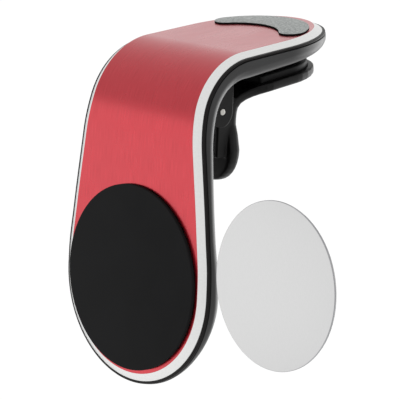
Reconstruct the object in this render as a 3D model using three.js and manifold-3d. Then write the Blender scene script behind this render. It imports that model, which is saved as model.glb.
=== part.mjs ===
import * as THREE from 'three';
import { mergeVertices } from 'three/addons/utils/BufferGeometryUtils.js';
import Module from 'manifold-3d';

// Magnetic phone mount for a car air vent. Lengths in mm, +Z up, the phone side faces -Y.
// The shape is laid out with Z = 0 at the bottom of the plate, then moved so that the
// origin sits in the middle of the flat face of the upper jaw pad.

// Run of the strip, seen from the side: straight plate, gentle arc, tight arc, straight arm.
const PLATE_STRAIGHT = 51.7;
const ENTRY_RADIUS = 34.2;
const ENTRY_TURN = THREE.MathUtils.degToRad(13.7);
const BEND_RADIUS = 16.2;
const BEND_TURN = THREE.MathUtils.degToRad(69);
const STRIP_LENGTH = 111.8;

// Outline of the aluminium panel, measured along the strip.
const FOOT_LENGTH = 21.5;
const FOOT_HALF_WIDTH = 22.25;
const TIP_LENGTH = 20.4;
const HALF_WIDTHS = [[21.5, 22.25], [27, 22.1], [33.5, 21.3], [40, 20.5], [52, 18.85], [60, 17.87],
  [70, 17.2], [80, 16.8], [92, 16.5]];

// Layers of the strip, as depths behind the red face.
const PANEL_THICKNESS = 1.1;
const CHAMFER_WIDTH = 1.7;
const CHAMFER_DEPTH = 0.96;
const BODY_LIP = 0.65;
const FRAME_DEPTH = 1.6;
const BODY_DEPTHS = [[0, 3.2], [3, 3.6], [6, 4.1], [12.5, 4.7], [19, 5.1], [26, 4.8], [32, 4.5],
  [38, 4.4], [44, 4.5], [51, 4.8], [60, 5.2], [70, 5.4], [80, 5.74], [112.4, 4.4]];
const BODY_ROUND = 2.4;
const BODY_ROUND_HEIGHT = 2.4;

// Magnet stack under the phone pad.
const PAD_RADIUS = 20;
const PAD_THICKNESS = 0.9;
const PAD_GLUE = 0.1;
const PAD_HEIGHT = 22.5;
const MAGNET_RADIUS = 5;
const MAGNET_THICKNESS = 1.5;
const MAGNET_CIRCLE = 11.4;
const MAGNET_COUNT = 6;
const YOKE_RADIUS = 16.6;
const YOKE_THICKNESS = 0.4;

// Crescent pad on top of the arm.
const CRESCENT_OUTER = 14.2;
const CRESCENT_INNER = 11.6;
const CRESCENT_OUTER_CENTRE = 93.7;
const CRESCENT_INNER_CENTRE = 88.2;
const CRESCENT_HORN = 2.9;
const CRESCENT_THICKNESS = 0.4;

// Clip, laid out on the flat underside of the arm.
const JAW_HALF_WIDTH = 11;
const JAW_TIP = 109.8;
const BRACKET_HALF_WIDTH = 10;
const BRACKET_START = 77.2;
const BRACKET_END = 108.2;
const BRACKET_BASE = 1.3;
const UPPER_PAD_THICKNESS = 1;
const JAW_GAP = 0.4;
const LOWER_PAD_THICKNESS = 2;
const JAW_FLOOR = 0.6;
const JAW_SHELL = 2.2;
const PAD_HALF_WIDTH = 9.6;
const EAR_INNER = 6;
const EAR_OUTER = 8;
const EAR_HALF_DEPTH = 2.95;
const EAR_DROP = 3.45;
const PIN_Y = 16.4;
const PIN_Z = 58.1;
const PIN_RADIUS = 0.75;
const PIN_CLEARANCE = 0.08;
const BARREL_RADIUS = 2.9;
const LEVER_INNER = 5.7;
const LEVER_NECK_Y = 22;
const LEVER_BEND = 7.4;
const NECK_HALF_WIDTH = 5.6;
const NECK_THICK = 2.9;
const PADDLE_HALF_WIDTH = 7;
const PADDLE_THICK = 3.4;
const PADDLE_CENTRE = 49.1;
const PADDLE_END = 41.9;
const PADDLE_TOP = 48.8;
const UPPER_PAD_START = 88;
const LOWER_PAD_START = 89.4;
const SCREW_X = 4.2;
const SCREW_S = 84.4;
const SCREW_RADIUS = 0.8;
const SCREW_LENGTH = 2.4;
const SCREW_HEAD_RADIUS = 1.5;
const SCREW_HEAD = 0.8;

// Torsion spring around the pin.
const COIL_RADIUS = 1.65;
const WIRE_RADIUS = 0.3;
const COIL_TURNS = 4;
const SPRING_SLOT = 2.6;

// Steel plate that is stuck on the phone, shown beside the pad.
const STEEL_RADIUS = 17.5;
const STEEL_THICKNESS = 0.4;
const STEEL_GLUE = 0.2;
const STEEL_GAP = 0.3;
const STEEL_X = 45.6;
const STEEL_Z = 29;

const wasm = await Module();
wasm.setup();

function toManifold(geometry) {
  const bare = geometry.clone();
  bare.deleteAttribute('normal');
  bare.deleteAttribute('uv');
  const welded = mergeVertices(bare, 1e-4);
  const vertProperties = new Float32Array(welded.attributes.position.array);
  const triVerts = new Uint32Array(welded.index.array);
  return new wasm.Manifold(new wasm.Mesh({ numProp: 3, vertProperties, triVerts }));
}

function fromManifold(manifold) {
  const mesh = manifold.getMesh();
  const geometry = new THREE.BufferGeometry();
  geometry.setAttribute('position', new THREE.BufferAttribute(new Float32Array(mesh.vertProperties), 3));
  geometry.setIndex(new THREE.BufferAttribute(new Uint32Array(mesh.triVerts), 1));
  return geometry;
}

function cut(geometry, ...tools) {
  let result = toManifold(geometry);
  for (const tool of tools) {
    result = result.subtract(toManifold(tool));
  }
  return fromManifold(result);
}

function join(geometry, ...others) {
  let result = toManifold(geometry);
  for (const other of others) {
    result = result.add(toManifold(other));
  }
  return fromManifold(result);
}

// Value of a table of [place, value] rows, joined by smooth or straight pieces.
function lookUp(rows, place, smooth) {
  const last = rows.length - 1;
  if (place <= rows[0][0]) return rows[0][1];
  if (place >= rows[last][0]) return rows[last][1];
  const i = rows.findIndex((row) => row[0] > place) - 1;
  const span = rows[i + 1][0] - rows[i][0];
  const k = (place - rows[i][0]) / span;
  const rise = rows[i + 1][1] - rows[i][1];
  if (!smooth) return rows[i][1] + rise * k;
  const slope = (a, b) => (rows[b][1] - rows[a][1]) / (rows[b][0] - rows[a][0]);
  const start = i > 0 ? slope(i - 1, i + 1) * span : 0;
  const end = i + 1 < last ? slope(i, i + 2) * span : slope(i, i + 1) * span;
  return rows[i][1] + start * k + (3 * rise - 2 * start - end) * k * k + (start + end - 2 * rise) * k ** 3;
}

const halfWidth = (s) => lookUp(HALF_WIDTHS, s, true);
const bodyDepth = (s) => lookUp(BODY_DEPTHS, s, false);

// Point of the red face at length s, with the turn of the strip there.
function stripAt(s) {
  const entryEnd = PLATE_STRAIGHT + ENTRY_RADIUS * ENTRY_TURN;
  const bendEnd = entryEnd + BEND_RADIUS * BEND_TURN;
  const a = Math.min(Math.max((s - PLATE_STRAIGHT) / ENTRY_RADIUS, 0), ENTRY_TURN);
  const b = Math.min(Math.max((s - entryEnd) / BEND_RADIUS, 0), BEND_TURN);
  const turn = a + b;
  const straight = Math.min(s, PLATE_STRAIGHT);
  const tail = Math.max(s - bendEnd, 0);
  const y = ENTRY_RADIUS * (1 - Math.cos(a)) + BEND_RADIUS * (Math.cos(a) - Math.cos(turn));
  const z = straight + ENTRY_RADIUS * Math.sin(a) + BEND_RADIUS * (Math.sin(turn) - Math.sin(a));
  return { y: y + tail * Math.sin(turn), z: z + tail * Math.cos(turn), turn };
}

function stripPoint(x, s, depth) {
  const at = stripAt(s);
  return new THREE.Vector3(x, at.y + depth * Math.cos(at.turn), at.z - depth * Math.sin(at.turn));
}

// Half outline of the strip, from the foot to the tip, grown outward by a distance.
function halfOutline(grow, footSteps = 12, tipSteps = 11) {
  const rows = [];
  for (let i = 0; i < footSteps; i += 1) {
    const angle = (Math.PI / 2) * (i / footSteps - 1);
    const s = FOOT_LENGTH + (FOOT_LENGTH + grow) * Math.sin(angle);
    rows.push([s, i === 0 ? 0 : (FOOT_HALF_WIDTH + grow) * Math.cos(angle)]);
  }
  const bendStart = PLATE_STRAIGHT + ENTRY_RADIUS * ENTRY_TURN;
  const tipStart = STRIP_LENGTH - TIP_LENGTH;
  const stops = [FOOT_LENGTH, PLATE_STRAIGHT, bendStart, bendStart + BEND_RADIUS * BEND_TURN, tipStart];
  const steps = [6, 3, 13, 2];
  for (let part = 0; part < steps.length; part += 1) {
    for (let i = 0; i < steps[part]; i += 1) {
      const s = stops[part] + ((stops[part + 1] - stops[part]) * i) / steps[part];
      rows.push([s, halfWidth(s) + grow]);
    }
  }
  for (let i = 0; i <= tipSteps; i += 1) {
    const angle = (Math.PI / 2) * (i / tipSteps);
    const s = tipStart + (TIP_LENGTH + grow) * Math.sin(angle);
    rows.push([s, i === tipSteps ? 0 : (halfWidth(tipStart) + grow) * Math.cos(angle)]);
  }
  return rows;
}

function fromTriangles(triangles) {
  const positions = [];
  for (const [a, b, c] of triangles) {
    const area = b.clone().sub(a).cross(c.clone().sub(a)).length();
    if (area > 1e-9) positions.push(...a.toArray(), ...b.toArray(), ...c.toArray());
  }
  const geometry = new THREE.BufferGeometry();
  geometry.setAttribute('position', new THREE.Float32BufferAttribute(positions, 3));
  return mergeVertices(geometry, 1e-4);
}

// Solid between stacked outlines. Each level gives the growth of the outline and its depth.
function layered(levels) {
  const rings = levels.map(({ grow, depth }) => {
    const rows = halfOutline(grow);
    const level = (s) => (typeof depth === 'function' ? depth(s) : depth);
    const right = rows.map(([s, x]) => stripPoint(x, s, level(s)));
    const left = rows.map(([s, x]) => stripPoint(-x, s, level(s)));
    return { right, left };
  });
  const triangles = [];
  const quad = (a, b, c, d) => triangles.push([a, b, c], [a, c, d]);
  const front = rings[0];
  const rear = rings[rings.length - 1];
  for (let i = 0; i + 1 < front.right.length; i += 1) {
    quad(front.left[i], front.right[i], front.right[i + 1], front.left[i + 1]);
    quad(rear.right[i], rear.left[i], rear.left[i + 1], rear.right[i + 1]);
    for (let k = 0; k + 1 < rings.length; k += 1) {
      const near = rings[k];
      const far = rings[k + 1];
      quad(near.right[i], far.right[i], far.right[i + 1], near.right[i + 1]);
      quad(near.left[i + 1], far.left[i + 1], far.left[i], near.left[i]);
    }
  }
  return fromTriangles(triangles);
}

// Round disc standing on a plane of constant Y.
function disc(radius, front, rear, x, z, segments) {
  const geometry = new THREE.CylinderGeometry(radius, radius, rear - front, segments);
  geometry.translate(x, (front + rear) / 2, z);
  return geometry;
}

function block(x0, x1, y0, y1, z0, z1) {
  const geometry = new THREE.BoxGeometry(x1 - x0, y1 - y0, z1 - z0);
  geometry.translate((x0 + x1) / 2, (y0 + y1) / 2, (z0 + z1) / 2);
  return geometry;
}

// Rod lying along X.
function rod(radius, x0, x1, y, z, segments) {
  const geometry = new THREE.CylinderGeometry(radius, radius, x1 - x0, segments);
  geometry.rotateZ(Math.PI / 2);
  geometry.translate((x0 + x1) / 2, y, z);
  return geometry;
}

// Frame of the clip: "along" runs down the arm's flat underside, "down" leaves it squarely.
const flatStart = stripPoint(0, 82, bodyDepth(82));
const flatEnd = stripPoint(0, STRIP_LENGTH, bodyDepth(STRIP_LENGTH));
const along = flatEnd.clone().sub(flatStart).normalize();
const down = new THREE.Vector3(0, along.z, -along.y);
const clipSlope = Math.atan2(along.z, along.y);

function clipPoint(x, s, h) {
  const reach = s - 82;
  return flatStart.clone().addScaledVector(along, reach).addScaledVector(down, h).setX(x);
}

// Plan of a jaw piece: square at its start, half round at its end.
function jawPlan(width, start, end, corner = 1) {
  const shape = new THREE.Shape();
  shape.moveTo(-width + corner, start);
  shape.lineTo(width - corner, start);
  shape.quadraticCurveTo(width, start, width, start + corner);
  shape.lineTo(width, end - width);
  shape.absarc(0, end - width, width, 0, Math.PI, false);
  shape.lineTo(-width, start + corner);
  shape.quadraticCurveTo(-width, start, -width + corner, start);
  return shape;
}

// Plate cut from a plan and laid in the clip's frame between two heights.
function clipPlate(shape, top, bottom, curveSegments = 12) {
  const depth = bottom - top;
  const geometry = new THREE.ExtrudeGeometry(shape, { depth, bevelEnabled: false, curveSegments });
  const corner = clipPoint(0, 0, top);
  const basis = new THREE.Matrix4().makeBasis(new THREE.Vector3(-1, 0, 0), along, down);
  basis.setPosition(corner);
  geometry.applyMatrix4(basis);
  return geometry;
}

// Side shape in the YZ plane, given thickness along X.
function sidePlate(shape, x0, x1, curveSegments = 10) {
  const geometry = new THREE.ExtrudeGeometry(shape, { depth: x1 - x0, bevelEnabled: false, curveSegments });
  const basis = new THREE.Matrix4().makeBasis(
    new THREE.Vector3(0, 1, 0), new THREE.Vector3(0, 0, 1), new THREE.Vector3(1, 0, 0));
  basis.setPosition(x0, 0, 0);
  geometry.applyMatrix4(basis);
  return geometry;
}

// Rounded section swept through stations of place, heading, half width, half thickness and rounding.
function swept(stations, cornerSteps = 3) {
  const rings = stations.map(({ y, z, heading, width, thick, outer, inner }) => {
    const side = new THREE.Vector3(0, -Math.sin(heading), Math.cos(heading));
    const ring = [];
    const corners = [[1, 1, outer], [-1, 1, outer], [-1, -1, inner], [1, -1, inner]];
    corners.forEach(([sx, sh, radius], quarter) => {
      const round = Math.min(radius, width * 0.98, thick * 0.98);
      for (let i = 0; i <= cornerSteps; i += 1) {
        const angle = (Math.PI / 2) * (quarter + i / cornerSteps);
        const x = sx * (width - round) + round * Math.cos(angle);
        const h = sh * (thick - round) + round * Math.sin(angle);
        ring.push(new THREE.Vector3(x, y, z).addScaledVector(side, h));
      }
    });
    return ring;
  });
  const triangles = [];
  const count = rings[0].length;
  for (let k = 0; k + 1 < rings.length; k += 1) {
    for (let i = 0; i < count; i += 1) {
      const j = (i + 1) % count;
      triangles.push([rings[k][i], rings[k + 1][j], rings[k][j]]);
      triangles.push([rings[k][i], rings[k + 1][i], rings[k + 1][j]]);
    }
  }
  const last = rings.length - 1;
  for (let i = 1; i + 1 < count; i += 1) {
    triangles.push([rings[0][0], rings[0][i], rings[0][i + 1]]);
    triangles.push([rings[last][0], rings[last][i + 1], rings[last][i]]);
  }
  return fromTriangles(triangles);
}

// Stations of the lever: jaw tip, jaw, bend, neck, thumb paddle.
function leverStations() {
  const padFloor = BRACKET_BASE + UPPER_PAD_THICKNESS + JAW_GAP + LOWER_PAD_THICKNESS;
  const middle = padFloor - JAW_FLOOR + JAW_SHELL / 2;
  const jawHeading = Math.PI + clipSlope;
  const rows = [];
  const jaw = (s, width, thick) => {
    const at = clipPoint(0, s, middle);
    rows.push({ y: at.y, z: at.z, heading: jawHeading, width, thick, outer: thick * 0.95, inner: 0.35 });
  };
  const tipCentre = JAW_TIP - JAW_HALF_WIDTH;
  for (let i = 0; i < 8; i += 1) {
    const angle = (Math.PI / 2) * (1 - (i + 0.35) / 8);
    const thick = (JAW_SHELL / 2) * (0.82 + 0.18 * Math.cos(angle));
    jaw(tipCentre + JAW_HALF_WIDTH * Math.sin(angle), JAW_HALF_WIDTH * Math.cos(angle), thick);
  }
  jaw(tipCentre, JAW_HALF_WIDTH, JAW_SHELL / 2);
  jaw(94, JAW_HALF_WIDTH, JAW_SHELL / 2);
  const bendDepth = middle + LEVER_BEND;
  const reach = (LEVER_NECK_Y + LEVER_BEND - clipPoint(0, 0, bendDepth).y) / along.y;
  const centre = clipPoint(0, reach, bendDepth);
  const bendSteps = 8;
  for (let i = 0; i <= bendSteps; i += 1) {
    const k = i / bendSteps;
    const heading = jawHeading + (1.5 * Math.PI - jawHeading) * k;
    const flare = Math.min(1, k / 0.75);
    const width = JAW_HALF_WIDTH + (NECK_HALF_WIDTH - JAW_HALF_WIDTH) * flare * flare * (3 - 2 * flare);
    const y = centre.y + LEVER_BEND * Math.sin(heading);
    const z = centre.z - LEVER_BEND * Math.cos(heading);
    const thick = JAW_SHELL / 2 + (NECK_THICK / 2 - JAW_SHELL / 2) * k;
    rows.push({ y, z, heading, width, thick, outer: thick * 0.9, inner: 0.5 });
  }
  const tail = (z, width, thick) => {
    rows.push({ y: LEVER_NECK_Y, z, heading: 1.5 * Math.PI, width, thick, outer: thick * 0.9, inner: 0.9 });
  };
  tail(54.6, NECK_HALF_WIDTH, NECK_THICK / 2);
  tail(52.4, 6.3, 1.6);
  tail(PADDLE_CENTRE, PADDLE_HALF_WIDTH, PADDLE_THICK / 2);
  for (let i = 1; i <= 8; i += 1) {
    const angle = (Math.PI / 2) * Math.min(i / 8, 0.96);
    const z = PADDLE_CENTRE - (PADDLE_CENTRE - PADDLE_END) * Math.sin(angle);
    tail(z, PADDLE_HALF_WIDTH * Math.cos(angle) ** 0.85, (PADDLE_THICK / 2) * (0.6 + 0.4 * Math.cos(angle)));
  }
  return rows;
}

// Coil around the pin with one leg up into the bracket and one leg down along the lever.
function springCurve() {
  const points = [];
  const pitch = (SPRING_SLOT * 2 - WIRE_RADIUS * 2 - 1.2) / COIL_TURNS;
  const half = (pitch * COIL_TURNS) / 2;
  const start = Math.PI;
  points.push(new THREE.Vector3(-half, PIN_Y - COIL_RADIUS, PIN_Z + 4.2));
  points.push(new THREE.Vector3(-half, PIN_Y - COIL_RADIUS, PIN_Z + 2.2));
  const steps = COIL_TURNS * 12;
  for (let i = 0; i <= steps; i += 1) {
    const angle = start + (2 * Math.PI * COIL_TURNS * i) / steps;
    const x = -half + (2 * half * i) / steps;
    const y = PIN_Y + COIL_RADIUS * Math.cos(angle);
    points.push(new THREE.Vector3(x, y, PIN_Z + COIL_RADIUS * Math.sin(angle)));
  }
  points.push(new THREE.Vector3(half, PIN_Y - COIL_RADIUS + 0.1, PIN_Z - 2.4));
  points.push(new THREE.Vector3(half, PIN_Y - COIL_RADIUS + 1.2, PIN_Z - 5));
  return new THREE.CatmullRomCurve3(points, false, 'centripetal');
}

// Crescent with rounded horns: each horn's circle touches both arcs.
function crescentShape() {
  const shape = new THREE.Shape();
  const shift = CRESCENT_OUTER_CENTRE - CRESCENT_INNER_CENTRE;
  const fromOuter = CRESCENT_OUTER - CRESCENT_HORN;
  const fromInner = CRESCENT_INNER + CRESCENT_HORN;
  const rise = (fromInner ** 2 - fromOuter ** 2 + shift ** 2) / (2 * shift);
  const hornX = Math.sqrt(fromInner ** 2 - rise ** 2);
  const hornS = CRESCENT_INNER_CENTRE + rise;
  const outerAngle = Math.atan2(rise - shift, hornX);
  const innerAngle = Math.atan2(rise, hornX);
  shape.absarc(0, CRESCENT_OUTER_CENTRE, CRESCENT_OUTER, outerAngle, Math.PI - outerAngle, false);
  shape.absarc(-hornX, hornS, CRESCENT_HORN, Math.PI - outerAngle, 2 * Math.PI - innerAngle, false);
  shape.absarc(0, CRESCENT_INNER_CENTRE, CRESCENT_INNER, Math.PI - innerAngle, innerAngle, true);
  shape.absarc(hornX, hornS, CRESCENT_HORN, Math.PI + innerAngle, 2 * Math.PI + outerAngle, false);
  return shape;
}

// Solid lying on the straight arm's red face, raised by a thickness.
function onArm(shape, depth) {
  const geometry = new THREE.ExtrudeGeometry(shape, { depth, bevelEnabled: false, curveSegments: 16 });
  const at = stripAt(STRIP_LENGTH);
  const run = new THREE.Vector3(0, Math.sin(at.turn), Math.cos(at.turn));
  const rise = new THREE.Vector3(0, -Math.cos(at.turn), Math.sin(at.turn));
  const basis = new THREE.Matrix4().makeBasis(new THREE.Vector3(1, 0, 0), run, rise);
  basis.setPosition(stripPoint(0, STRIP_LENGTH, 0).addScaledVector(run, -STRIP_LENGTH));
  geometry.applyMatrix4(basis);
  return geometry;
}

const pieces = [];

function add(name, geometry, color, metalness, roughness) {
  pieces.push({ name, geometry, color, metalness, roughness });
}

const BLACK = 0x232426;
const STEEL = 0xc4c6c8;

// Strip: aluminium panel, inner frame, back shell.
add('front_panel', layered([
  { grow: -CHAMFER_WIDTH, depth: 0 },
  { grow: 0, depth: CHAMFER_DEPTH },
  { grow: 0, depth: PANEL_THICKNESS },
]), 0xc0404c, 0.9, 0.35);

const magnets = [];
for (let i = 0; i < MAGNET_COUNT; i += 1) {
  const angle = (2 * Math.PI * (i + 0.5)) / MAGNET_COUNT;
  magnets.push([MAGNET_CIRCLE * Math.cos(angle), PAD_HEIGHT + MAGNET_CIRCLE * Math.sin(angle)]);
}
const magnetFront = PANEL_THICKNESS + 0.05;
const magnetRear = magnetFront + MAGNET_THICKNESS;
const yokeRear = magnetRear + YOKE_THICKNESS;

const frame = layered([
  { grow: -0.35, depth: PANEL_THICKNESS },
  { grow: BODY_LIP - 0.15, depth: PANEL_THICKNESS + 0.02 },
  { grow: BODY_LIP, depth: PANEL_THICKNESS + 0.15 },
  { grow: BODY_LIP, depth: FRAME_DEPTH },
]);
const magnetHoles = magnets.map(([x, z]) => disc(MAGNET_RADIUS + 0.05, 0, 4, x, z, 28));
add('inner_frame', cut(frame, ...magnetHoles), 0x141415, 0.1, 0.45);

const roundSteps = 5;
const shellLevels = [
  { grow: BODY_LIP - 0.25, depth: FRAME_DEPTH },
  { grow: BODY_LIP + 0.1, depth: FRAME_DEPTH + 0.3 },
];
for (let i = 0; i <= roundSteps; i += 1) {
  const angle = (Math.PI / 2) * (i / roundSteps);
  const grow = BODY_LIP + 0.1 - BODY_ROUND * (1 - Math.cos(angle));
  const depth = (s) => {
    const height = Math.min(BODY_ROUND_HEIGHT, bodyDepth(s) - FRAME_DEPTH - 0.31);
    return bodyDepth(s) - height * (1 - Math.sin(angle));
  };
  shellLevels.push({ grow, depth });
}
const screwPlaces = [-SCREW_X, SCREW_X].map((x) => [x, SCREW_S]);
const screwAxis = (x, s, top, bottom, radius) => {
  const shape = new THREE.Shape();
  shape.absarc(x, s, radius, 0, 2 * Math.PI, false);
  return clipPlate(shape, top, bottom, 10);
};
const shellCuts = [disc(YOKE_RADIUS + 0.05, 0, yokeRear, 0, PAD_HEIGHT, 48)];
for (const [x, s] of screwPlaces) {
  shellCuts.push(screwAxis(-x, s, -SCREW_LENGTH - 0.1, 1, SCREW_RADIUS + 0.05));
}
add('back_shell', cut(layered(shellLevels), ...shellCuts), BLACK, 0.1, 0.4);

// Magnets, yoke and the round pad that meets the phone's plate.
magnets.forEach(([x, z], i) => {
  add(`magnet_${i + 1}`, disc(MAGNET_RADIUS, magnetFront, magnetRear, x, z, 28), 0xb9bbbd, 1, 0.25);
});
add('magnet_yoke', disc(YOKE_RADIUS, magnetRear, yokeRear, 0, PAD_HEIGHT, 48), 0x8d9093, 1, 0.4);
add('pad_adhesive', disc(PAD_RADIUS - 0.4, -PAD_GLUE, 0, 0, PAD_HEIGHT, 64), 0x9a9a92, 0, 0.7);
const phonePad = disc(PAD_RADIUS, -PAD_GLUE - PAD_THICKNESS, -PAD_GLUE, 0, PAD_HEIGHT, 72);
add('magnet_pad', phonePad, 0x1d1d1e, 0, 0.85);
add('arm_pad', onArm(crescentShape(), CRESCENT_THICKNESS), 0x868c89, 0, 0.9);

// Clip bracket under the arm, with its two ears, screws and pad.
function earShape() {
  const shape = new THREE.Shape();
  const topRear = clipPoint(0, 82, 0.6);
  const rise = along.z / along.y;
  shape.moveTo(PIN_Y - EAR_HALF_DEPTH, topRear.z + rise * (PIN_Y - EAR_HALF_DEPTH - topRear.y));
  shape.lineTo(PIN_Y - EAR_HALF_DEPTH, PIN_Z);
  shape.absellipse(PIN_Y, PIN_Z, EAR_HALF_DEPTH, EAR_DROP, Math.PI, 2 * Math.PI, false, 0);
  shape.lineTo(PIN_Y + EAR_HALF_DEPTH, topRear.z + rise * (PIN_Y + EAR_HALF_DEPTH - topRear.y));
  return shape;
}
const base = clipPlate(jawPlan(BRACKET_HALF_WIDTH, BRACKET_START, BRACKET_END), 0, BRACKET_BASE);
const ears = [sidePlate(earShape(), EAR_INNER, EAR_OUTER), sidePlate(earShape(), -EAR_OUTER, -EAR_INNER)];
const bracketCuts = [rod(PIN_RADIUS, -EAR_OUTER - 1, EAR_OUTER + 1, PIN_Y, PIN_Z, 20)];
for (const [x, s] of screwPlaces) {
  bracketCuts.push(screwAxis(-x, s, -1, BRACKET_BASE, SCREW_RADIUS + 0.05));
  bracketCuts.push(screwAxis(-x, s, BRACKET_BASE - SCREW_HEAD, BRACKET_BASE + 1, SCREW_HEAD_RADIUS + 0.05));
}
add('clip_bracket', cut(join(base, ...ears), ...bracketCuts), BLACK, 0.1, 0.5);
screwPlaces.forEach(([x, s], i) => {
  const shank = screwAxis(-x, s, -SCREW_LENGTH, BRACKET_BASE - SCREW_HEAD / 2, SCREW_RADIUS);
  const head = screwAxis(-x, s, BRACKET_BASE - SCREW_HEAD, BRACKET_BASE - 0.02, SCREW_HEAD_RADIUS);
  const slots = [[1.1, 0.18], [0.18, 1.1]].map(([w, l]) => {
    const shape = new THREE.Shape();
    shape.moveTo(-x - w, s - l);
    shape.lineTo(-x + w, s - l);
    shape.lineTo(-x + w, s + l);
    shape.lineTo(-x - w, s + l);
    return clipPlate(shape, BRACKET_BASE - 0.4, BRACKET_BASE + 1);
  });
  add(`bracket_screw_${i + 1}`, cut(join(shank, head), ...slots), 0x6f7275, 1, 0.35);
});
const padTop = BRACKET_BASE;
const padFace = padTop + UPPER_PAD_THICKNESS;
const upperPad = jawPlan(BRACKET_HALF_WIDTH - 1, UPPER_PAD_START, BRACKET_END - 1);
add('upper_jaw_pad', clipPlate(upperPad, padTop, padFace), 0x1b1b1c, 0, 0.85);

// Lever with its pad, the pin and the spring.
const lowerTop = padFace + JAW_GAP;
const lowerFloor = lowerTop + LOWER_PAD_THICKNESS;
const padEnd = JAW_TIP - JAW_HALF_WIDTH + PAD_HALF_WIDTH;
const pocket = clipPlate(
  jawPlan(PAD_HALF_WIDTH + 0.05, LOWER_PAD_START - 0.05, padEnd + 0.05), lowerTop, lowerFloor);
const barrel = rod(BARREL_RADIUS, -LEVER_INNER, LEVER_INNER, PIN_Y, PIN_Z, 28);
const web = block(-NECK_HALF_WIDTH, NECK_HALF_WIDTH, PIN_Y, LEVER_NECK_Y, PIN_Z - 2.6, PIN_Z + 2.6);
const wall = block(-NECK_HALF_WIDTH, NECK_HALF_WIDTH, PIN_Y + 1.2, LEVER_NECK_Y, PADDLE_TOP - 1.2, PIN_Z);
const lever = cut(
  join(swept(leverStations()), barrel, web, wall),
  rod(PIN_RADIUS + PIN_CLEARANCE, -LEVER_INNER - 1, LEVER_INNER + 1, PIN_Y, PIN_Z, 20),
  block(-SPRING_SLOT, SPRING_SLOT, PIN_Y - 4, PIN_Y + 3.2, PIN_Z - 3.5, PIN_Z + 3.5),
  block(-NECK_HALF_WIDTH + 1.2, NECK_HALF_WIDTH - 1.2, PIN_Y, LEVER_NECK_Y - 0.6, PADDLE_TOP, PIN_Z - 3),
  pocket,
);
add('clip_lever', lever, BLACK, 0.1, 0.45);
add('lower_jaw_pad', clipPlate(jawPlan(PAD_HALF_WIDTH, LOWER_PAD_START, padEnd), lowerTop, lowerFloor),
  0x1b1b1c, 0, 0.85);
add('pivot_pin', rod(PIN_RADIUS, -EAR_OUTER - 0.15, EAR_OUTER + 0.15, PIN_Y, PIN_Z, 20), STEEL, 1, 0.3);
const wire = new THREE.Shape();
wire.absarc(0, 0, WIRE_RADIUS, 0, 2 * Math.PI, false);
const spring = new THREE.ExtrudeGeometry(wire, { steps: 84, curveSegments: 5, extrudePath: springCurve() });
add('torsion_spring', spring, STEEL, 1, 0.3);

// Steel plate for the phone, with its adhesive film.
const glueRear = -PAD_GLUE - PAD_THICKNESS - STEEL_GAP;
const steelRear = glueRear - STEEL_GLUE;
const steel = disc(STEEL_RADIUS, steelRear - STEEL_THICKNESS, steelRear, STEEL_X, STEEL_Z, 72);
add('steel_plate', steel, 0xd6d7d8, 1, 0.3);
const glue = disc(STEEL_RADIUS - 0.15, steelRear, glueRear, STEEL_X, STEEL_Z, 72);
add('plate_adhesive', glue, 0x8e8e8a, 0, 0.7);

// Put the origin in the middle of the upper pad's flat face.
const origin = clipPoint(0, (UPPER_PAD_START + BRACKET_END - 1) / 2, padFace);
const mount = new THREE.Group();
mount.name = 'vent_phone_mount';
for (const { name, geometry, color, metalness, roughness } of pieces) {
  const bare = geometry.clone();
  bare.deleteAttribute('normal');
  bare.deleteAttribute('uv');
  const shape = mergeVertices(bare, 1e-4);
  shape.translate(-origin.x, -origin.y, -origin.z);
  shape.computeVertexNormals();
  const material = new THREE.MeshStandardMaterial({ color, metalness, roughness });
  material.name = name;
  const mesh = new THREE.Mesh(shape, material);
  mesh.name = name;
  mount.add(mesh);
}

export default mount;
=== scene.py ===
import math

import bmesh
import bpy
from mathutils import Matrix, Vector


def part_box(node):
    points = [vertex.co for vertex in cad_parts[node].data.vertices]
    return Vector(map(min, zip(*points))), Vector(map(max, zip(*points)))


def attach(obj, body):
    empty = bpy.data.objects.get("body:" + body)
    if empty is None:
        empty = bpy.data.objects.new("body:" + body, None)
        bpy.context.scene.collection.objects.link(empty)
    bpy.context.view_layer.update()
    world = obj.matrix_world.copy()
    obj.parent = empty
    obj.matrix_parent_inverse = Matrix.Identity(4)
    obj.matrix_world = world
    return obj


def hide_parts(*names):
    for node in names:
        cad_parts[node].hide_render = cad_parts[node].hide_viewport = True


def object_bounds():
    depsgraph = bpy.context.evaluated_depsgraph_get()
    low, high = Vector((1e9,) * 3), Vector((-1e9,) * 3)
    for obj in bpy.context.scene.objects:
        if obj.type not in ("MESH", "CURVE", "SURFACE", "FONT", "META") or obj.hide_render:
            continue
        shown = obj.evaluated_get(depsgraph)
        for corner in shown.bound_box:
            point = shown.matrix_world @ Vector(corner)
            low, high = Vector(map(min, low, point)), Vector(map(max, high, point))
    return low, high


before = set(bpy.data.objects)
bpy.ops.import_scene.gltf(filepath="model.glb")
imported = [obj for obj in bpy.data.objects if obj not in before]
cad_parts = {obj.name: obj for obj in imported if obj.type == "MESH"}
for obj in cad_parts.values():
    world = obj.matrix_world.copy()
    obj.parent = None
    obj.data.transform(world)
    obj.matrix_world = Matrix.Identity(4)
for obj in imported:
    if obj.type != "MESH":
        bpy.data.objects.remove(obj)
cad_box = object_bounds()

MM = 0.001

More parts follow.
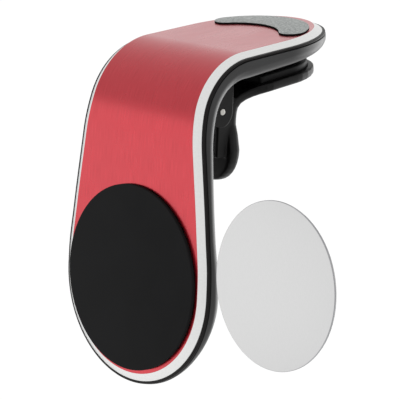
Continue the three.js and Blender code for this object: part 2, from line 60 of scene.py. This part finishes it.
# Run of the strip in millimetres, measured up the plate and back along the arm.
PLATE_STRAIGHT = 51.7
ENTRY_RADIUS = 34.2
ENTRY_TURN = math.radians(13.7)
BEND_RADIUS = 16.2
BEND_TURN = math.radians(69)
STRIP_LENGTH = 111.8
FOOT_LENGTH = 21.5
FOOT_HALF_WIDTH = 22.25
TIP_LENGTH = 20.4
HALF_WIDTHS = [(21.5, 22.25), (27, 22.1), (33.5, 21.3), (40, 20.5), (52, 18.85), (60, 17.87),
               (70, 17.2), (80, 16.8), (92, 16.5)]
BODY_DEPTHS = [(0, 3.2), (3, 3.6), (6, 4.1), (12.5, 4.7), (19, 5.1), (26, 4.8), (32, 4.5),
               (38, 4.4), (44, 4.5), (51, 4.8), (60, 5.2), (70, 5.4), (80, 5.74), (112.4, 4.4)]
FLAT_ARM_START = 70.0
PANEL_THICKNESS = 1.1
CHAMFER_WIDTH = 1.7
CHAMFER_DEPTH = 0.96
BODY_LIP = 0.65
FRAME_DEPTH = 1.6
BODY_ROUND = 2.4
BODY_ROUND_HEIGHT = 2.4
BODY_ROUND_STEPS = 18

# Cross-sections of the layers, front to rear: growth beyond the outline, depth behind the red face.
PANEL_SECTION = [
    (-CHAMFER_WIDTH - 0.05, 0.0),
    (-CHAMFER_WIDTH, 0.02),
    (-0.08, CHAMFER_DEPTH - 0.05),
    (0.0, CHAMFER_DEPTH + 0.03),
    (0.0, PANEL_THICKNESS),
]
FRAME_SECTION = [
    (-0.35, PANEL_THICKNESS),
    (0.1, PANEL_THICKNESS),
    (BODY_LIP - 0.12, PANEL_THICKNESS + 0.02),
    (BODY_LIP - 0.03, PANEL_THICKNESS + 0.07),
    (BODY_LIP, PANEL_THICKNESS + 0.17),
    (BODY_LIP, FRAME_DEPTH - 0.13),
    (BODY_LIP - 0.13, FRAME_DEPTH),
]
SHELL_FRONT_SECTION = [
    (BODY_LIP - 0.5, FRAME_DEPTH),
    (BODY_LIP - 0.45, FRAME_DEPTH + 0.08),
    (BODY_LIP, FRAME_DEPTH + 0.1),
    (BODY_LIP + 0.08, FRAME_DEPTH + 0.16),
]
SHELL_GROWTH = 0.1
SHELL_SIDE_START = FRAME_DEPTH + 0.3

# Pads and plates.
PAD_RADIUS = 20.0
PAD_RIM = 0.22
PAD_REAR = -0.1
PAD_HEIGHT = 22.5
CRESCENT_OUTER = 14.2
CRESCENT_INNER = 11.6
CRESCENT_OUTER_CENTRE = 93.7
CRESCENT_INNER_CENTRE = 88.2
CRESCENT_HORN = 2.9
CRESCENT_THICKNESS = 0.4
CRESCENT_RIM = 0.06
STEEL_RADIUS = 17.5
STEEL_RIM = 0.1

# Clip.
FLAT_START = 82.0
BRACKET_HALF_WIDTH = 10.0
BRACKET_END = 108.2
BRACKET_BASE = 1.3
UPPER_PAD_START = 88.0
UPPER_PAD_INSET = 1.0
UPPER_PAD_FACE = 2.3
UPPER_PAD_RIM = 0.2
LOWER_PAD_START = 89.4
LOWER_PAD_TOP = 2.7
LOWER_PAD_FLOOR = 4.7
LOWER_PAD_RIM = 0.3
LOWER_PAD_HALF_WIDTH = 9.6
JAW_CORNER = 1.0
JAW_TIP = 109.8
JAW_HALF_WIDTH = 11.0
LEVER_VOXEL = 0.16
LEVER_SMOOTHING = 5
BRACKET_VOXEL = 0.14
BRACKET_SMOOTHING = 3
MERGE_DISTANCE = 0.001
KEPT_FACES = 0.3
PIN_RIM = 0.22

# Return spring: a coil round the pin, and its two legs. Leg points are (behind the coil's front,
# above the pin).
COIL_RADIUS = 1.65
COIL_TURNS = 4
COIL_STEPS = 24
COIL_HALF_LENGTH = 1.7
WIRE_RADIUS = 0.285
UPPER_LEG = [(0.0, 4.1), (0.0, 2.0)]
LOWER_LEG = [(0.2, -2.4), (1.2, -4.9)]

# Camera, around the aim point on the middle plane of the mount.
VIEW_TURN = math.radians(47.56)
VIEW_RISE = math.radians(10.13)
VIEW_ROLL = math.radians(2.6)
VIEW_DISTANCE = 700.0
VIEW_SCALE = 4.71
AIM_HEIGHT = 40.0
AIM_SIDE = 13.51
AIM_DOWN = 0.81
SENSOR_WIDTH = 36
IMAGE_WIDTH = 400
NEAREST = 0.01
FARTHEST = 200

# Studio, in metres. Each soft box has a position, a target, a size and a radiance.
FLOOR_RADIUS = 30.0
FLOOR_DROP = 0.75
FLOOR_SIDES = 64
SKY = 1.06
SOFT_BOXES = {
    "front_box": ((-0.82, -0.80, -0.28), (0, -0.035, -0.28), (1.5, 0.8), 0.64),
    "rear_box": ((0.1, 1.17, -0.2), (0, 0, -0.1), (1.0, 0.7), 2.3),
}

# Shift from the layout's millimetres to the row frame, and the pin's middle.
pad_low, pad_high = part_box("magnet_pad")
SHIFT = Vector((
    (pad_low.x + pad_high.x) / 2,
    pad_high.y - PAD_REAR * MM,
    (pad_low.z + pad_high.z) / 2 - PAD_HEIGHT * MM,
))
pin_low, pin_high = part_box("pivot_pin")
PIN = (pin_low + pin_high) / 2


def place(x, y, z):
    """Point of the layout in millimetres, as a point of the row frame in metres."""
    return Vector((x, y, z)) * MM + SHIFT


def look_up(rows, at, smooth):
    """Value of a table of (place, value) rows, joined by straight lines or by a smooth curve."""
    if at <= rows[0][0]:
        return rows[0][1]
    if at >= rows[-1][0]:
        return rows[-1][1]
    i = max(k for k, row in enumerate(rows) if row[0] <= at)
    i = min(i, len(rows) - 2)
    span = rows[i + 1][0] - rows[i][0]
    rise = rows[i + 1][1] - rows[i][1]
    k = (at - rows[i][0]) / span
    if not smooth:
        return rows[i][1] + rise * k

    def slope(a, b):
        return (rows[b][1] - rows[a][1]) / (rows[b][0] - rows[a][0])

    start = slope(i - 1, i + 1) * span if i > 0 else 0
    end = slope(i, i + 2) * span if i + 2 < len(rows) else slope(i, i + 1) * span
    square = 3 * rise - 2 * start - end
    cube = start + end - 2 * rise
    return rows[i][1] + start * k + square * k * k + cube * k ** 3


def strip_at(s):
    """Place and turn of the red face's middle line at a length along the strip."""
    entry_end = PLATE_STRAIGHT + ENTRY_RADIUS * ENTRY_TURN
    bend_end = entry_end + BEND_RADIUS * BEND_TURN
    a = min(max((s - PLATE_STRAIGHT) / ENTRY_RADIUS, 0), ENTRY_TURN)
    b = min(max((s - entry_end) / BEND_RADIUS, 0), BEND_TURN)
    turn = a + b
    tail = max(s - bend_end, 0)
    y = ENTRY_RADIUS * (1 - math.cos(a)) + BEND_RADIUS * (math.cos(a) - math.cos(turn))
    y += tail * math.sin(turn)
    z = min(s, PLATE_STRAIGHT) + ENTRY_RADIUS * math.sin(a)
    z += BEND_RADIUS * (math.sin(turn) - math.sin(a)) + tail * math.cos(turn)
    return y, z, turn


def strip_point(x, s, depth):
    """Point at a side offset, a length along the strip and a depth behind the red face."""
    y, z, turn = strip_at(s)
    return place(x, y + depth * math.cos(turn), z - depth * math.sin(turn))


def body_depth(s):
    return look_up(BODY_DEPTHS, s, s < FLAT_ARM_START)


def half_outline(grow, foot=40, tip=36):
    """Right half of the strip's outline, as (length, half width) rows from its foot to its tip."""
    rows = []
    for i in range(foot):
        angle = math.pi / 2 * (i / foot - 1)
        x = 0 if i == 0 else (FOOT_HALF_WIDTH + grow) * math.cos(angle)
        rows.append((FOOT_LENGTH + (FOOT_LENGTH + grow) * math.sin(angle), x))
    bend_start = PLATE_STRAIGHT + ENTRY_RADIUS * ENTRY_TURN
    tip_start = STRIP_LENGTH - TIP_LENGTH
    bend_end = bend_start + BEND_RADIUS * BEND_TURN
    stops = [FOOT_LENGTH, PLATE_STRAIGHT, bend_start, bend_end, tip_start]
    for part, steps in enumerate([16, 12, 48, 8]):
        for i in range(steps):
            s = stops[part] + (stops[part + 1] - stops[part]) * i / steps
            rows.append((s, look_up(HALF_WIDTHS, s, True) + grow))
    width = look_up(HALF_WIDTHS, tip_start, True)
    for i in range(tip + 1):
        angle = math.pi / 2 * i / tip
        x = 0 if i == tip else (width + grow) * math.cos(angle)
        rows.append((tip_start + (TIP_LENGTH + grow) * math.sin(angle), x))
    return rows


def finish_mesh(bm, name, materials, body, sharp):
    """Piece made from a bmesh, shaded smooth up to an angle in degrees, riding on a body."""
    bmesh.ops.recalc_face_normals(bm, faces=bm.faces)
    mesh = bpy.data.meshes.new(name)
    bm.to_mesh(mesh)
    bm.free()
    mesh.shade_smooth()
    mesh.set_sharp_from_angle(angle=math.radians(sharp))
    for material in materials:
        mesh.materials.append(material)
    piece = bpy.data.objects.new(name, mesh)
    bpy.context.scene.collection.objects.link(piece)
    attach(piece, body)
    return piece


def layered(name, levels, materials, slots, sharp):
    """Solid between stacked outlines of the strip.

    Each level is (growth, depth). The slots are the front's, one for each gap, and the rear's.
    """
    bm = bmesh.new()
    uv = bm.loops.layers.uv.new("along_strip")
    rings = []
    for grow, depth in levels:
        rows = half_outline(grow)
        ring = []
        for s, x in rows:
            d = depth(s) if callable(depth) else depth
            right = bm.verts.new(strip_point(x, s, d))
            left = right if x == 0 else bm.verts.new(strip_point(-x, s, d))
            ring.append((right, left, x, s))
        rings.append(ring)

    def face(corners, slot):
        seen = []
        for vert, u, v in corners:
            if all(vert is not other[0] for other in seen):
                seen.append((vert, u, v))
        if len(seen) > 2:
            new = bm.faces.new([vert for vert, _, _ in seen])
            new.material_index = slot
            for loop, (_, u, v) in zip(new.loops, seen):
                loop[uv].uv = (u * MM, v * MM)

    for ring, slot in ((rings[0], slots[0]), (rings[-1], slots[-1])):
        for (r0, l0, x0, s0), (r1, l1, x1, s1) in zip(ring, ring[1:]):
            face([(l0, -x0, s0), (r0, x0, s0), (r1, x1, s1), (l1, -x1, s1)], slot)
    for k in range(len(rings) - 1):
        near, far, slot = rings[k], rings[k + 1], slots[k + 1]
        for i in range(len(near) - 1):
            for side, sign in ((0, 1), (1, -1)):
                ends = [near[i], far[i], far[i + 1], near[i + 1]]
                face([(row[side], sign * row[2], row[3]) for row in ends], slot)
    return finish_mesh(bm, name, materials, "mount_body", sharp)


# Frame of the clip: it runs along the arm's flat underside.
flat_start = strip_point(0, FLAT_START, body_depth(FLAT_START))
flat_end = strip_point(0, STRIP_LENGTH, body_depth(STRIP_LENGTH))
along = (flat_end - flat_start).normalized()
down = Vector((0, along.z, -along.y))


def clip_point(x, s, h):
    """Point below the arm's underside, at a length along the strip and a height downward."""
    point = flat_start + along * ((s - FLAT_START) * MM) + down * (h * MM)
    return Vector((x * MM, point.y, point.z))


def arm_point(x, s, h):
    """Point above the arm's red face."""
    return strip_point(x, s, -h)


def jaw_outline(width, start, end, corner_steps=6, side_steps=10, tip_steps=28):
    """Plan of a jaw piece: rounded corners at its start, half round at its end."""
    side = []
    side_x = width - JAW_CORNER
    side_start = start + JAW_CORNER
    for i in range(corner_steps + 1):
        angle = -math.pi / 2 + math.pi / 2 * i / corner_steps
        side.append((side_x + JAW_CORNER * math.cos(angle), side_start + JAW_CORNER * math.sin(angle)))
    for i in range(1, side_steps):
        side.append((width, side_start + (end - width - start - JAW_CORNER) * i / side_steps))
    tip = []
    for i in range(tip_steps + 1):
        angle = math.pi * i / tip_steps
        tip.append((width * math.cos(angle), end - width + width * math.sin(angle)))
    return side + tip + [(-x, s) for x, s in reversed(side)]


def crescent_outline():
    """Plan of the crescent: an outer and an inner arc joined by two round horns."""
    shift = CRESCENT_OUTER_CENTRE - CRESCENT_INNER_CENTRE
    from_outer = CRESCENT_OUTER - CRESCENT_HORN
    from_inner = CRESCENT_INNER + CRESCENT_HORN
    rise = (from_inner ** 2 - from_outer ** 2 + shift ** 2) / (2 * shift)
    horn_x = math.sqrt(from_inner ** 2 - rise ** 2)
    horn_s = CRESCENT_INNER_CENTRE + rise
    outer = math.atan2(rise - shift, horn_x)
    inner = math.atan2(rise, horn_x)
    arcs = [(0, CRESCENT_OUTER_CENTRE, CRESCENT_OUTER, outer, math.pi - outer, 72),
            (-horn_x, horn_s, CRESCENT_HORN, math.pi - outer, 2 * math.pi - inner, 18),
            (0, CRESCENT_INNER_CENTRE, CRESCENT_INNER, math.pi - inner, inner, 48),
            (horn_x, horn_s, CRESCENT_HORN, math.pi + inner, 2 * math.pi + outer, 18)]
    rows = []
    for x, s, radius, a0, a1, steps in arcs:
        for i in range(steps):
            angle = a0 + (a1 - a0) * i / steps
            rows.append((x + radius * math.cos(angle), s + radius * math.sin(angle)))
    return rows


def inset(rows, distance):
    """Outline moved inward, for an outline that runs anticlockwise."""
    moved = []
    for i, (x, s) in enumerate(rows):
        x0, s0 = rows[i - 1]
        x1, s1 = rows[(i + 1) % len(rows)]
        length = math.hypot(x1 - x0, s1 - s0)
        moved.append((x - (s1 - s0) / length * distance, s + (x1 - x0) / length * distance))
    return moved


def slab(name, rows, levels, to_point, materials, body, slots=None, sharp=50):
    """Plate with a plan outline, built through levels of (inset, height)."""
    bm = bmesh.new()
    rings = [[bm.verts.new(to_point(x, s, h)) for x, s in inset(rows, d)] for d, h in levels]
    slots = slots or [0] * (len(levels) + 1)
    bm.faces.new(rings[0]).material_index = slots[0]
    bm.faces.new(list(reversed(rings[-1]))).material_index = slots[-1]
    for k in range(len(rings) - 1):
        for i in range(len(rows)):
            j = (i + 1) % len(rows)
            face = bm.faces.new([rings[k][i], rings[k + 1][i], rings[k + 1][j], rings[k][j]])
            face.material_index = slots[k + 1]
    return finish_mesh(bm, name, materials, body, sharp)


def rounded_levels(front, rear, radius, steps=4):
    """Levels of a plate whose two rims are rounded, from its front height to its rear height."""
    sign = 1 if rear > front else -1
    turns = [math.pi / 2 * i / steps for i in range(steps + 1)]
    near = [(radius * (1 - math.sin(a)), front + sign * radius * (1 - math.cos(a))) for a in turns]
    far = [(radius * (1 - math.cos(a)), rear - sign * radius * (1 - math.sin(a))) for a in turns]
    return near + far


class Shader:
    """A Principled material with texture nodes added step by step."""

    def __init__(self, name, color, metallic, roughness, **sockets):
        self.material = bpy.data.materials.new(name)
        self.material.use_nodes = True
        self.nodes = self.material.node_tree.nodes
        self.links = self.material.node_tree.links
        self.surface = self.nodes["Principled BSDF"]
        self.surface.inputs["Base Color"].default_value = (*color, 1)
        self.surface.inputs["Metallic"].default_value = metallic
        self.surface.inputs["Roughness"].default_value = roughness
        for socket, value in sockets.items():
            self.surface.inputs[socket.replace("_", " ")].default_value = value
        self.height = None

    def noise(self, scale, detail=3, stretch=(1, 1, 1), along_strip=False):
        """Noise in metres of the object's space, or of the strip's width and length."""
        mapping = self.nodes.new("ShaderNodeMapping")
        mapping.inputs["Scale"].default_value = stretch
        if along_strip:
            source = self.nodes.new("ShaderNodeUVMap")
            source.uv_map = "along_strip"
            self.links.new(source.outputs["UV"], mapping.inputs["Vector"])
        else:
            source = self.nodes.new("ShaderNodeTexCoord")
            self.links.new(source.outputs["Object"], mapping.inputs["Vector"])
        texture = self.nodes.new("ShaderNodeTexNoise")
        texture.inputs["Scale"].default_value = scale
        texture.inputs["Detail"].default_value = detail
        self.links.new(mapping.outputs["Vector"], texture.inputs["Vector"])
        return texture.outputs["Fac"]

    def spread(self, value, low, high):
        """Noise stretched from its middle range to low and high."""
        ramp = self.nodes.new("ShaderNodeMapRange")
        ramp.inputs["From Min"].default_value = 0.3
        ramp.inputs["From Max"].default_value = 0.7
        ramp.inputs["To Min"].default_value = low
        ramp.inputs["To Max"].default_value = high
        self.links.new(value, ramp.inputs["Value"])
        return ramp.outputs["Result"]

    def color(self, value, first, second, at=(0.35, 0.65)):
        ramp = self.nodes.new("ShaderNodeValToRGB")
        ramp.color_ramp.elements[0].position = at[0]
        ramp.color_ramp.elements[1].position = at[1]
        ramp.color_ramp.elements[0].color = (*first, 1)
        ramp.color_ramp.elements[1].color = (*second, 1)
        self.links.new(value, ramp.inputs["Fac"])
        self.links.new(ramp.outputs["Color"], self.surface.inputs["Base Color"])

    def roughness(self, value, low, high):
        self.links.new(self.spread(value, low, high), self.surface.inputs["Roughness"])

    def bump(self, value, strength, distance):
        node = self.nodes.new("ShaderNodeBump")
        node.inputs["Strength"].default_value = strength
        node.inputs["Distance"].default_value = distance * MM
        self.links.new(value, node.inputs["Height"])
        if self.height is not None:
            self.links.new(self.height, node.inputs["Normal"])
        self.height = node.outputs["Normal"]
        self.links.new(self.height, self.surface.inputs["Normal"])


def anodised():
    """Red aluminium, brushed along the strip, under a clear anodised layer."""
    shader = Shader("anodised_red", (0.398, 0.016, 0.027), 1.0, 0.28, Anisotropic=0.8,
                    Coat_Weight=0.55, Coat_Roughness=0.17, Coat_IOR=1.5)
    tangent = shader.nodes.new("ShaderNodeTangent")
    tangent.direction_type = "UV_MAP"
    tangent.uv_map = "along_strip"
    shader.links.new(tangent.outputs["Tangent"], shader.surface.inputs["Tangent"])
    grain = shader.noise(1, 4, (14000, 220, 1), True)
    cloud = shader.noise(1, 2, (120, 60, 1), True)
    shader.color(grain, (0.35, 0.011, 0.02), (0.447, 0.022, 0.034))
    shader.roughness(cloud, 0.25, 0.31)
    shader.bump(grain, 0.25, 0.02)
    return shader.material


def chamfer():
    """Bare aluminium of the machined chamfer."""
    shader = Shader("cut_aluminium", (0.67, 0.672, 0.665), 1.0, 0.3)
    grain = shader.noise(1, 3, (2600, 2600, 1), True)
    shader.color(grain, (0.655, 0.657, 0.65), (0.69, 0.692, 0.685))
    shader.roughness(grain, 0.28, 0.34)
    shader.bump(grain, 0.06, 0.005)
    return shader.material


def moulded(name, color, roughness, gloss, grain_size, depth):
    """Moulded plastic or rubber, with a grain of a size and depth in millimetres."""
    shader = Shader(name, color, 0.0, roughness, Specular_IOR_Level=gloss)
    fine = shader.noise(1000 / grain_size, 4)
    broad = shader.noise(90, 2)
    shader.color(broad, tuple(c * 0.85 for c in color), tuple(c * 1.15 for c in color))
    shader.roughness(broad, roughness - 0.04, roughness + 0.04)
    shader.bump(fine, 0.35, depth)
    return shader.material


def foam():
    """Speckled grey foam with a matt skin."""
    shader = Shader("grey_foam", (0.2, 0.215, 0.205), 0.0, 0.92, Specular_IOR_Level=0.2,
                    Sheen_Weight=0.15)
    speckle = shader.noise(2600, 3)
    shader.color(speckle, (0.155, 0.168, 0.162), (0.39, 0.405, 0.395), (0.36, 0.64))
    shader.bump(speckle, 0.5, 0.05)
    return shader.material


def steel(name, color, roughness, stretch=(1, 1, 1), scale=3000):
    """Bare or plated metal with a fine grain."""
    shader = Shader(name, color, 1.0, roughness)
    grain = shader.noise(scale, 3, stretch)
    shader.color(grain, tuple(c * 0.97 for c in color), tuple(min(1, c * 1.02) for c in color))
    shader.roughness(grain, roughness - 0.05, roughness + 0.05)
    shader.bump(grain, 0.05, 0.01)
    return shader.material


RED = anodised()
SILVER = chamfer()
DARK = moulded("frame_black", (0.005, 0.0042, 0.0042), 0.4, 0.1, 0.25, 0.01)
SHELL = moulded("shell_black", (0.009, 0.009, 0.0092), 0.32, 0.31, 0.22, 0.015)
CLIP = moulded("clip_black", (0.0042, 0.004, 0.004), 0.38, 0.14, 0.25, 0.02)
RUBBER = moulded("pad_rubber", (0.007, 0.007, 0.0073), 0.7, 0.06, 0.16, 0.015)
SILICONE = moulded("jaw_rubber", (0.005, 0.005, 0.005), 0.5, 0.12, 0.3, 0.02)
FOAM = foam()
FOAM_SIDE = moulded("foam_edge", (0.008, 0.006, 0.006), 0.9, 0.05, 0.2, 0.03)
GLUE = moulded("adhesive_film", (0.2, 0.2, 0.19), 0.7, 0.3, 0.3, 0.01)
SATIN = steel("satin_steel", (0.445, 0.445, 0.445), 0.34, (1, 1, 0.25), 5000)
EDGE = steel("steel_edge", (0.3, 0.3, 0.31), 0.3)
BRIGHT = steel("bright_steel", (0.42, 0.41, 0.385), 0.3)
NICKEL = steel("nickel", (0.62, 0.6, 0.57), 0.22)
ZINC = steel("zinc_steel", (0.42, 0.43, 0.45), 0.4)

# Strip: red panel with a cut chamfer, dark frame, rounded shell.
panel = layered("panel_face", PANEL_SECTION, [RED, SILVER], [0, 0, 1, 1, 1, 1], 20)
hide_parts("front_panel")

frame_band = layered("frame_band", FRAME_SECTION, [DARK], [0] * (len(FRAME_SECTION) + 1), 40)
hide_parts("inner_frame")


def rounded_rear(angle):
    """Depth of the shell's rounded rim at an angle, from its side to its flat rear."""
    def depth(s):
        height = min(BODY_ROUND_HEIGHT, body_depth(s) - SHELL_SIDE_START)
        return body_depth(s) - height * (1 - math.sin(angle))
    return depth


shell_levels = list(SHELL_FRONT_SECTION)
for i in range(BODY_ROUND_STEPS + 1):
    angle = math.pi / 2 * i / BODY_ROUND_STEPS
    growth = BODY_LIP + SHELL_GROWTH - BODY_ROUND * (1 - math.cos(angle))
    shell_levels.append((growth, rounded_rear(angle)))
shell = layered("rear_shell", shell_levels, [SHELL], [0] * (len(shell_levels) + 1), 40)
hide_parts("back_shell")


def circle(radius, steps=120):
    angles = [2 * math.pi * i / steps for i in range(steps)]
    return [(radius * math.cos(angle), radius * math.sin(angle)) for angle in angles]


def facing(node):
    """Placement of a round piece that faces -Y, over a CAD node's centre. Heights are the row's."""
    corner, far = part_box(node)
    centre = (corner + far) / 2
    return lambda x, s, h: Vector((centre.x + x * MM, h * MM, centre.z + s * MM))


# Round magnetic pad.
levels = rounded_levels(pad_low.y / MM, pad_high.y / MM, PAD_RIM)
pad = slab("round_pad", circle(PAD_RADIUS), levels, facing("magnet_pad"), [RUBBER], "mount_body")
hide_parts("magnet_pad")

# Crescent pad on the arm.
levels = rounded_levels(CRESCENT_THICKNESS, 0.0, CRESCENT_RIM, 3)
crescent = slab("crescent_pad", crescent_outline(), levels, arm_point, [FOAM, FOAM_SIDE],
                "mount_body", [0] * 3 + [1] * (len(levels) - 2))
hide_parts("arm_pad")

# Jaw pads.
upper_half_width = BRACKET_HALF_WIDTH - UPPER_PAD_INSET
outline = jaw_outline(upper_half_width, UPPER_PAD_START, BRACKET_END - UPPER_PAD_INSET)
levels = rounded_levels(BRACKET_BASE, UPPER_PAD_FACE, UPPER_PAD_RIM)
upper = slab("upper_grip", outline, levels, clip_point, [SILICONE], "mount_body")
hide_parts("upper_jaw_pad")
pad_end = JAW_TIP - JAW_HALF_WIDTH + LOWER_PAD_HALF_WIDTH
outline = jaw_outline(LOWER_PAD_HALF_WIDTH, LOWER_PAD_START, pad_end)
levels = rounded_levels(LOWER_PAD_TOP, LOWER_PAD_FLOOR, LOWER_PAD_RIM)
lower = slab("lower_grip", outline, levels, clip_point, [SILICONE], "lever")
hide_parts("lower_jaw_pad")


def softened(name, node, material, body, voxel, rounds):
    """Copy of a CAD node with its edges rounded as a moulded part's are. The voxel is in millimetres."""
    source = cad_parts[node].data.copy()
    source.transform(Matrix.Scale(1 / MM, 4))
    source.materials.clear()
    source.materials.append(material)
    piece = bpy.data.objects.new(name, source)
    bpy.context.scene.collection.objects.link(piece)
    bm = bmesh.new()
    bm.from_mesh(source)
    bmesh.ops.remove_doubles(bm, verts=bm.verts, dist=MERGE_DISTANCE)
    bm.to_mesh(source)
    bm.free()
    remesh = piece.modifiers.new("remesh", "REMESH")
    remesh.mode = "VOXEL"
    remesh.voxel_size = voxel
    smooth = piece.modifiers.new("smooth", "SMOOTH")
    smooth.factor = 0.5
    smooth.iterations = rounds
    reduce = piece.modifiers.new("reduce", "DECIMATE")
    reduce.ratio = KEPT_FACES
    bpy.context.view_layer.update()
    graph = bpy.context.evaluated_depsgraph_get()
    reduced = bpy.data.meshes.new_from_object(piece.evaluated_get(graph))
    piece.modifiers.clear()
    piece.data = reduced
    reduced.transform(Matrix.Scale(MM, 4))
    reduced.shade_smooth()
    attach(piece, body)
    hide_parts(node)


softened("lever_arm", "clip_lever", CLIP, "lever", LEVER_VOXEL, LEVER_SMOOTHING)
softened("bracket_ears", "clip_bracket", CLIP, "mount_body", BRACKET_VOXEL, BRACKET_SMOOTHING)


def across(x, s, h):
    """Point round the pin's axis, at a height along X in row millimetres."""
    return PIN + Vector((h * MM - PIN.x, x * MM, s * MM))


# Pivot pin with rounded ends.
pin_radius = (pin_high.z - pin_low.z) / 2 / MM
levels = rounded_levels(pin_low.x / MM, pin_high.x / MM, PIN_RIM)
pin = slab("hinge_pin", circle(pin_radius, 40), levels, across, [BRIGHT], "mount_body", sharp=60)
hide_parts("pivot_pin")


def spring_points():
    """Middle line of the spring in row millimetres: upper leg, coil, lower leg."""
    pin_y = PIN.y / MM
    pin_z = PIN.z / MM
    front = pin_y - COIL_RADIUS
    points = [(-COIL_HALF_LENGTH, front + y, pin_z + z) for y, z in UPPER_LEG]
    steps = COIL_TURNS * COIL_STEPS
    for i in range(steps + 1):
        angle = math.pi + 2 * math.pi * COIL_TURNS * i / steps
        x = -COIL_HALF_LENGTH + 2 * COIL_HALF_LENGTH * i / steps
        points.append((x, pin_y + COIL_RADIUS * math.cos(angle), pin_z + COIL_RADIUS * math.sin(angle)))
    return points + [(COIL_HALF_LENGTH, front + y, pin_z + z) for y, z in LOWER_LEG]


curve = bpy.data.curves.new("return_spring", "CURVE")
curve.dimensions = "3D"
curve.bevel_depth = WIRE_RADIUS * MM
curve.bevel_resolution = 3
curve.use_fill_caps = True
points = spring_points()
spline = curve.splines.new("POLY")
spline.points.add(len(points) - 1)
for target, point in zip(spline.points, points):
    target.co = (*(Vector(point) * MM), 1)
curve.materials.append(BRIGHT)
spring = bpy.data.objects.new("return_spring", curve)
bpy.context.scene.collection.objects.link(spring)
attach(spring, "lever")
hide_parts("torsion_spring")

# Loose steel plate.
plate_low, plate_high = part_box("steel_plate")
levels = rounded_levels(plate_low.y / MM, plate_high.y / MM, STEEL_RIM, 3)
plate = slab("steel_disc", circle(STEEL_RADIUS, 160), levels, facing("steel_plate"), [SATIN, EDGE],
             "loose_plate", [0] + [1] * (len(levels) - 1) + [0])
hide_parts("steel_plate")

# CAD nodes kept as they are, with better materials.
for node, material in {
    "magnet_yoke": ZINC, "pad_adhesive": GLUE, "plate_adhesive": GLUE,
    "bracket_screw_1": ZINC, "bracket_screw_2": ZINC,
    **{f"magnet_{i}": NICKEL for i in range(1, 7)},
}.items():
    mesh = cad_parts[node].data
    mesh.materials.clear()
    mesh.materials.append(material)

# Camera: turned round the mount, raised and rolled, aimed so that the mount sits left of the middle.
back = Vector((
    math.sin(VIEW_TURN) * math.cos(VIEW_RISE),
    -math.cos(VIEW_TURN) * math.cos(VIEW_RISE),
    math.sin(VIEW_RISE),
))
level = Vector((math.cos(VIEW_TURN), math.sin(VIEW_TURN), 0))
upright = back.cross(level)
right = level * math.cos(VIEW_ROLL) + upright * math.sin(VIEW_ROLL)
up = upright * math.cos(VIEW_ROLL) - level * math.sin(VIEW_ROLL)
aim = place(0, 0, AIM_HEIGHT) + right * (AIM_SIDE * MM) - up * (AIM_DOWN * MM)
camera_data = bpy.data.cameras.new("camera")
camera_data.sensor_width = SENSOR_WIDTH
camera_data.lens = SENSOR_WIDTH * VIEW_SCALE * VIEW_DISTANCE / IMAGE_WIDTH
camera_data.clip_start = NEAREST
camera_data.clip_end = FARTHEST
camera = bpy.data.objects.new("camera", camera_data)
bpy.context.scene.collection.objects.link(camera)
rotation = Matrix((right, up, back)).transposed().to_4x4()
camera.matrix_world = Matrix.Translation(aim + back * (VIEW_DISTANCE * MM)) @ rotation
bpy.context.scene.camera = camera

# Pale floor well below the mount, and soft studio light.
bm = bmesh.new()
bmesh.ops.create_circle(bm, cap_ends=True, segments=FLOOR_SIDES, radius=FLOOR_RADIUS)
mesh = bpy.data.meshes.new("floor")
bm.to_mesh(mesh)
bm.free()
floor_shader = Shader("pale_floor", (0.97, 0.97, 0.97), 0.0, 0.9, Specular_IOR_Level=0.1)
floor_shader.color(floor_shader.noise(2, 2), (0.96, 0.96, 0.96), (0.98, 0.98, 0.98))
mesh.materials.append(floor_shader.material)
floor = bpy.data.objects.new("floor", mesh)
floor.location = (0, 0, cad_box[0].z - FLOOR_DROP)
bpy.context.scene.collection.objects.link(floor)

world = bpy.data.worlds.new("studio")
bpy.context.scene.world = world
world.use_nodes = True
world.node_tree.nodes["Background"].inputs["Color"].default_value = (1, 1, 1, 1)
world.node_tree.nodes["Background"].inputs["Strength"].default_value = SKY


def softbox(name, position, target, size, radiance):
    """Rectangular light of a given radiance, turned to a target."""
    data = bpy.data.lights.new(name, "AREA")
    data.shape = "RECTANGLE"
    data.size, data.size_y = size
    data.energy = radiance * math.pi * size[0] * size[1]
    light = bpy.data.objects.new(name, data)
    light.location = position
    light.rotation_euler = (Vector(position) - Vector(target)).to_track_quat("Z", "Y").to_euler()
    light.visible_camera = False
    bpy.context.scene.collection.objects.link(light)


for name, (position, target, size, radiance) in SOFT_BOXES.items():
    softbox(name, position, target, size, radiance)

bpy.context.scene.view_settings.view_transform = "Standard"
bpy.context.scene.view_settings.look = "None"
